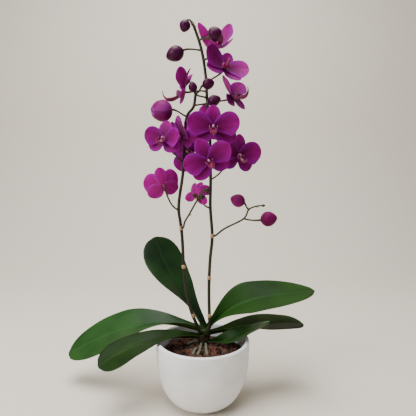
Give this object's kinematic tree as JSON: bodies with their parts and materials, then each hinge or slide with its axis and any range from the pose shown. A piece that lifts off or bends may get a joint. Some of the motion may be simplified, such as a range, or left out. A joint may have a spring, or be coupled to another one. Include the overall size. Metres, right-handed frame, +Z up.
{
  "type": "potted orchid",
  "caption": "Moth orchid with magenta blooms on two arching flower spikes, plump buds, thick strap leaves and aerial roots, in a round white bowl filled with bark.",
  "frame": {"origin": "centre of the pot's flat underside, where the plant stands", "axes": "+Z up along the plant's height, +X to the viewer's right and -Y towards the viewer in front of the plant"},
  "size_m": [0.4543, 0.17, 0.6437],
  "materials": {
    "pot_ceramic": "matte off-white ceramic",
    "bark": "rough pine bark",
    "stem": "dry leaf sheath",
    "root": "matte silvery root",
    "spike": "satin dark green stalk",
    "leaf": "satin thick leaf",
    "petal": "velvety magenta petal",
    "bud": "satin dark plum bud"
  },
  "bodies": {
    "root": {"pot": "pot_ceramic", "bark_bed": "bark", "short_stem": "stem", "aerial_root_left": "root", "aerial_root_right": "root", "aerial_root_back": "root", "aerial_root_arch": "root", "spike_left": "spike", "spike_right": "spike", "twig_low_left": "spike", "twig_low_right": "spike", "leaf_upright": "leaf", "leaf_left": "leaf", "leaf_lower_left": "leaf", "leaf_right": "leaf", "leaf_lower_right": "leaf", "leaf_small": "leaf", "bloom_top": "petal", "bloom_upper_right": "petal", "bloom_left_profile": "petal", "bloom_right_profile": "petal", "bloom_front": "petal", "bloom_back": "petal", "bloom_left": "petal", "bloom_left_oblique": "petal", "bloom_shaded": "petal", "bloom_low_front": "petal", "bloom_right": "petal", "bloom_facing_away": "petal", "bloom_folded": "petal", "bud_top_left": "bud", "bud_top_front": "bud", "bud_upper_left": "bud", "bud_middle_left": "bud", "bud_middle": "bud", "bud_middle_right": "bud", "bud_opening_left": "bud", "bud_low_upper": "bud", "bud_low_right": "bud"}
  },
  "joints": []
}
